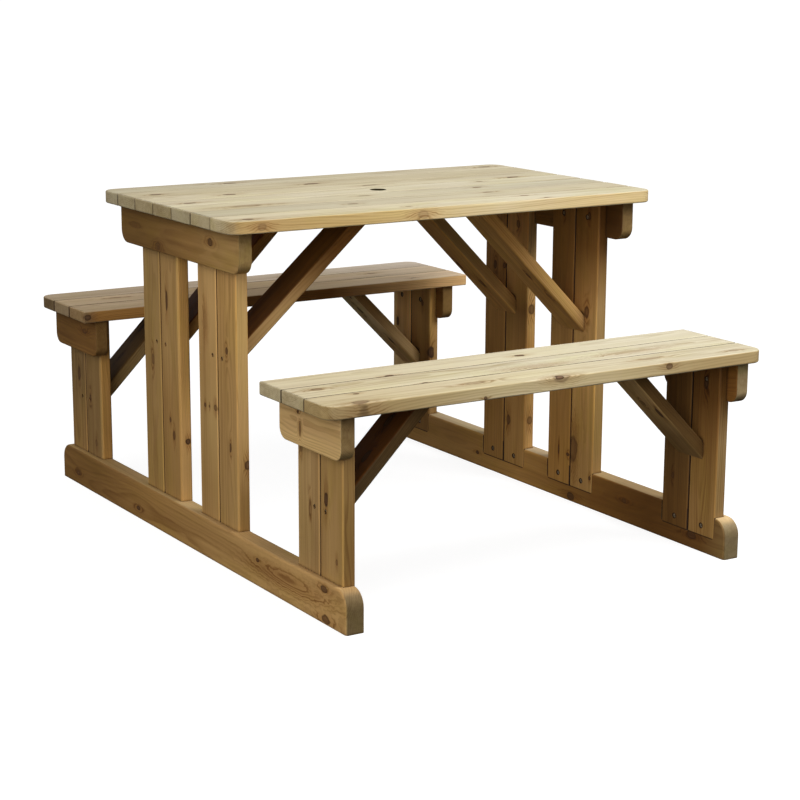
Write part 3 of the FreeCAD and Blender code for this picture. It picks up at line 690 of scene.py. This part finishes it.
def screw_material():
    """Dull yellow-passivated steel with patches of dirt, and painted shade in its recesses."""
    material = bpy.data.materials.new("screw_steel")
    material.use_nodes = True
    g = Graph(material.node_tree)
    shader = material.node_tree.nodes["Principled BSDF"]
    place = g.node("TexCoord").outputs["Object"]
    stain = g.noise(place, (320.0, 320.0, 320.0), detail=3)
    darkening = g.noise(place, (60.0, 60.0, 60.0))
    colour = g.mix(g.remap(stain, 0.35, 0.7), (0.62, 0.50, 0.34), (0.34, 0.25, 0.14))
    # Painted shade in the screw's recesses, darker where ambient occlusion closes in; it shares its dark
    # colour with the dirt patches.
    occlusion = g.node("AmbientOcclusion", samples=6)
    occlusion.inputs["Distance"].default_value = SCREW_RECESS_SHADE_REACH
    recess_shade = g.remap(occlusion.outputs["AO"], 0.55, 0.2, 0.0, 0.9)
    colour = g.mix(g.math("MAXIMUM", recess_shade, g.remap(darkening, 0.45, 0.75, 0.0, 0.4)), colour,
                   (0.035, 0.022, 0.012))
    g.put(shader.inputs["Base Color"], colour)
    g.put(shader.inputs["Roughness"], g.remap(stain, 0.2, 0.8, 0.38, 0.62))
    shader.inputs["Metallic"].default_value = 0.5
    return material


# ---------------------------------------------------------------- plank meshes
def rail_points(half_length, half_width, radius, side):
    """One side of a plank's outline seen from above, from the middle of its left end to the middle
    of its right end, as (point, outward normal) pairs."""
    quarter_turn = [math.radians(90 * step / CORNER_STEPS) for step in range(CORNER_STEPS + 1)]
    corner_x = half_length - radius
    corner_y = half_width - radius
    rail = [((-half_length, 0.0), (-1.0, 0.0)), ((-half_length, side * corner_y / 2), (-1.0, 0.0))]
    for angle in quarter_turn:
        normal = (-math.cos(angle), side * math.sin(angle))
        rail.append(((-corner_x + radius * normal[0], side * corner_y + radius * normal[1]), normal))
    steps = round(2 * half_length / LENGTH_STEP)
    for step in range(1, steps):
        rail.append(((-corner_x + 2 * corner_x * step / steps, side * half_width), (0.0, side)))
    for angle in reversed(quarter_turn):
        normal = (math.cos(angle), side * math.sin(angle))
        rail.append(((corner_x + radius * normal[0], side * corner_y + radius * normal[1]), normal))
    rail += [((half_length, side * corner_y / 2), (1.0, 0.0)), ((half_length, 0.0), (1.0, 0.0))]
    return rail


def edge_profile(half_thickness, arris):
    """Section of a plank's edge, from its upper to its lower face, as (inset, height) pairs."""
    angles = [math.radians(90 * step / ARRIS_STEPS) for step in range(ARRIS_STEPS + 1)]
    upper = [(arris * (1 - math.sin(a)), half_thickness - arris * (1 - math.cos(a)))
             for a in angles]
    return upper + [(inset, -height) for inset, height in reversed(upper)]


def build_plank(name, front_radius, back_radius):
    """Board with eased edges: two outline rails joined by strips across its two faces."""
    dice = random.Random("mesh " + name)
    low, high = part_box(name)
    middle = (low + high) / 2
    half = (high - low) / 2
    outermost = front_radius > SQUARE_CORNER or back_radius > SQUARE_CORNER
    shortfall = 0.0 if outermost else dice.uniform(0.3, 1.0) * END_UNEVENNESS
    half_length = half.x - shortfall
    shift = dice.uniform(-1, 1) * shortfall
    offset = Vector([dice.uniform(-50, 50) for _ in range(3)])

    def wave(x, y, rate):
        return noise.noise(Vector((x * rate, y * rate * 2.5, 0)) + offset)

    verts = []
    faces = []

    def add(x, y, z):
        sunk = SURFACE_UNEVENNESS * (0.5 + 0.5 * wave(x, y, 7.0)) * (1 if z > 0 else -1)
        verts.append(Vector((x + shift, y, z - sunk)) + middle)
        return len(verts) - 1

    rings = []
    for side, radius in ((-1, front_radius), (1, back_radius)):
        rail = []
        for (x, y), (nx, ny) in rail_points(half_length, half.y, radius, side):
            arris = ARRIS * (1 + ARRIS_UNEVENNESS * wave(x, y + side, 11.0))
            rail.append([add(x - nx * inset, y - ny * inset, height)
                         for inset, height in edge_profile(half.z, arris)])
        rings.append(rail)
        for here, there in zip(rail, rail[1:]):
            for k in range(len(here) - 1):
                quad = [here[k], here[k + 1], there[k + 1], there[k]]
                faces.append(quad if side < 0 else quad[::-1])

    front, back = rings
    for k, upward in ((0, True), (-1, False)):
        rows = []
        for a, b in zip(front, back):
            start, end = verts[a[k]] - middle, verts[b[k]] - middle
            inner = [add(*(start.lerp(end, step / WIDTH_STEPS).xy - Vector((shift, 0))),
                         half.z if upward else -half.z) for step in range(1, WIDTH_STEPS)]
            rows.append([a[k]] + inner + [b[k]])
        for here, there in zip(rows, rows[1:]):
            for j in range(WIDTH_STEPS):
                quad = [here[j], there[j], there[j + 1], here[j + 1]]
                faces.append(quad if upward else quad[::-1])
    mesh = bpy.data.meshes.new(name + "_board")
    mesh.from_pydata(verts, [], faces)
    return tidy_mesh(mesh)


def tidy_mesh(mesh):
    """Joins doubled points, drops empty faces and smooths the shading."""
    shape = bmesh.new()
    shape.from_mesh(mesh)
    bmesh.ops.remove_doubles(shape, verts=shape.verts, dist=1e-6)
    bmesh.ops.dissolve_degenerate(shape, edges=shape.edges, dist=1e-7)
    bmesh.ops.recalc_face_normals(shape, faces=shape.faces)
    for face in shape.faces:
        face.smooth = True
    shape.to_mesh(mesh)
    shape.free()
    return mesh


def hole_cutter(node):
    """Spindle that cuts the parasol hole through a plank, with both rims eased."""
    low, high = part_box(node)
    middle = (low + high) / 2
    half_thickness = (high.z - low.z) / 2
    ease = HOLE_EASING
    upper = []
    for step in range(HOLE_RIM_STEPS + 1):
        angle = math.radians(90 * step / HOLE_RIM_STEPS)
        upper.append((HOLE_RADIUS + ease * (1 - math.cos(angle)),
                      half_thickness - ease + ease * math.sin(angle)))
    upper.append((HOLE_RADIUS + ease, half_thickness + 2 * ease))
    outline = [(radius, -z) for radius, z in reversed(upper)] + upper
    verts = []
    for radius, z in outline:
        for step in range(HOLE_STEPS):
            turn = math.tau * step / HOLE_STEPS
            verts.append(middle + Vector((radius * math.cos(turn), radius * math.sin(turn), z)))
    faces = [list(range(HOLE_STEPS))[::-1],
             list(range(len(verts) - HOLE_STEPS, len(verts)))]
    for row in range(len(outline) - 1):
        for step in range(HOLE_STEPS):
            after = (step + 1) % HOLE_STEPS
            a, b = row * HOLE_STEPS, (row + 1) * HOLE_STEPS
            faces.append([a + step, a + after, b + after, b + step])
    mesh = bpy.data.meshes.new("hole_cutter")
    mesh.from_pydata(verts, [], faces)
    return add_object("hole_cutter", mesh)


def add_object(name, mesh):
    """New object in the scene, with this mesh."""
    made = bpy.data.objects.new(name, mesh)
    bpy.context.scene.collection.objects.link(made)
    return made


def cut_with(piece, cutter):
    """Cuts one mesh out of another and removes the cutter."""
    cut = piece.modifiers.new("cut", "BOOLEAN")
    cut.operation = "DIFFERENCE"
    cut.solver = "EXACT"
    cut.object = cutter
    graph = bpy.context.evaluated_depsgraph_get()
    piece.data = bpy.data.meshes.new_from_object(piece.evaluated_get(graph))
    piece.modifiers.clear()
    bpy.data.objects.remove(cutter)


def make_planks():
    """Boards for the top and the benches. The top's four corners and the two outer corners of a
    bench are rounded."""
    for stem, (count, corner, look) in PLANK_SETS.items():
        for number in range(1, count + 1):
            name = "%s_plank_%d" % (stem, number)
            rounded = [side for side in (-1, 1) if side not in neighbour_sides(name)
                       and (stem == "top" or number == count)]
            front, back = (corner if side in rounded else SQUARE_CORNER for side in (-1, 1))
            piece = add_object(name + "_board", build_plank(name, front, back))
            if name == "top_plank_4":
                cut_with(piece, hole_cutter(name))
            piece.data.materials.clear()
            piece.data.materials.append(wood_material(name, look))
            even = piece.modifiers.new("even_normals", "WEIGHTED_NORMAL")
            even.keep_sharp = True
            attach(piece, "root")
            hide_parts(name)


def finish_frame_wood():
    """Wood for the nodes that keep their CAD shape, and steel for the screws."""
    steel = screw_material()
    for name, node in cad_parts.items():
        if "plank" in name and "screws" not in name:
            continue
        look = steel if "screws" in name else wood_material(name, HONEY)
        node.data.materials.clear()
        node.data.materials.append(look)


# ---------------------------------------------------------------- studio
def make_floor():
    """Floor that is nearly white by its own glow, and neither lights the table nor mirrors in it."""
    mesh = bpy.data.meshes.new("floor")
    half = FLOOR_HALF_SIZE
    mesh.from_pydata([(-half, -half, 0), (half, -half, 0), (half, half, 0), (-half, half, 0)], [],
                     [(0, 1, 2, 3)])
    floor = add_object("floor", mesh)
    material = bpy.data.materials.new("pale_floor")
    material.use_nodes = True
    g = Graph(material.node_tree)
    shader = material.node_tree.nodes["Principled BSDF"]
    mottle = g.noise(g.node("TexCoord").outputs["Object"], (0.7, 0.7, 0.7))
    g.put(shader.inputs["Base Color"],
          g.mix(mottle, (0.27, 0.27, 0.27), (0.30, 0.30, 0.30)))
    shader.inputs["Roughness"].default_value = 0.9
    shader.inputs["Specular IOR Level"].default_value = 0.1
    shader.inputs["Emission Color"].default_value = (1.0, 1.0, 1.0, 1.0)
    shader.inputs["Emission Strength"].default_value = 0.88
    floor.data.materials.append(material)
    floor.visible_diffuse = False
    floor.visible_glossy = False


def make_light():
    """Soft sky, brightest above and dark below, a large soft lamp above the front, and a fill from
    the left. The camera sees a plain pale wall behind the floor instead of the sky."""
    world = bpy.data.worlds.new("studio")
    bpy.context.scene.world = world
    world.use_nodes = True
    g = Graph(world.node_tree)
    background = world.node_tree.nodes["Background"]
    direction = g.node("TexCoord").outputs["Generated"]
    height = g.node("SeparateXYZ")
    g.put(height.inputs[0], direction)
    glow = g.remap(height.outputs["Z"], -0.10, 0.60, 0.04, 1.0)
    sky = g.combine(glow, glow, glow)
    seen = g.node("LightPath").outputs["Is Camera Ray"]
    g.put(background.inputs["Color"], g.mix(seen, sky, BACKDROP))
    background.inputs["Strength"].default_value = SKY_STRENGTH
    add_softbox("soft_key", 54, 1.3, (0.85, -1.45, 2.4))
    add_lamp("left_fill", 1.55, 60, (-1.0, -0.55, 0.30))


def add_softbox(name, power, size, place):
    """Square soft lamp near the table, turned towards its top. Power is in watts."""
    lamp = bpy.data.lights.new(name, "AREA")
    lamp.energy = power
    lamp.size = size
    holder = bpy.data.objects.new(name, lamp)
    bpy.context.scene.collection.objects.link(holder)
    holder.location = place
    towards = Vector(place) - Vector(LAMP_TARGET)
    holder.rotation_euler = towards.to_track_quat("Z", "Y").to_euler()
    holder.visible_camera = False


def add_lamp(name, strength, width, towards):
    """Far, soft lamp that lies in a direction. Its width is in degrees."""
    lamp = bpy.data.lights.new(name, "SUN")
    lamp.energy = strength
    lamp.angle = math.radians(width)
    holder = bpy.data.objects.new(name, lamp)
    bpy.context.scene.collection.objects.link(holder)
    holder.rotation_euler = Vector(towards).to_track_quat("Z", "Y").to_euler()


def make_camera():
    """At the front left corner, a little above the table top."""
    lens = bpy.data.cameras.new("camera")
    lens.sensor_width = 36.0
    lens.lens = CAMERA_LENS
    lens.shift_x, lens.shift_y = CAMERA_SHIFT
    lens.clip_end = 300.0
    camera = bpy.data.objects.new("camera", lens)
    bpy.context.scene.collection.objects.link(camera)
    turn = (Matrix.Rotation(-math.radians(CAMERA_HEADING), 4, "Z")
            @ Matrix.Rotation(math.pi / 2 - math.radians(CAMERA_TILT), 4, "X")
            @ Matrix.Rotation(math.radians(CAMERA_ROLL), 4, "Z"))
    camera.matrix_world = Matrix.Translation(CAMERA_PLACE) @ turn
    bpy.context.scene.camera = camera


make_planks()
finish_frame_wood()
make_floor()
make_light()
make_camera()
bpy.context.scene.view_settings.view_transform = "Standard"
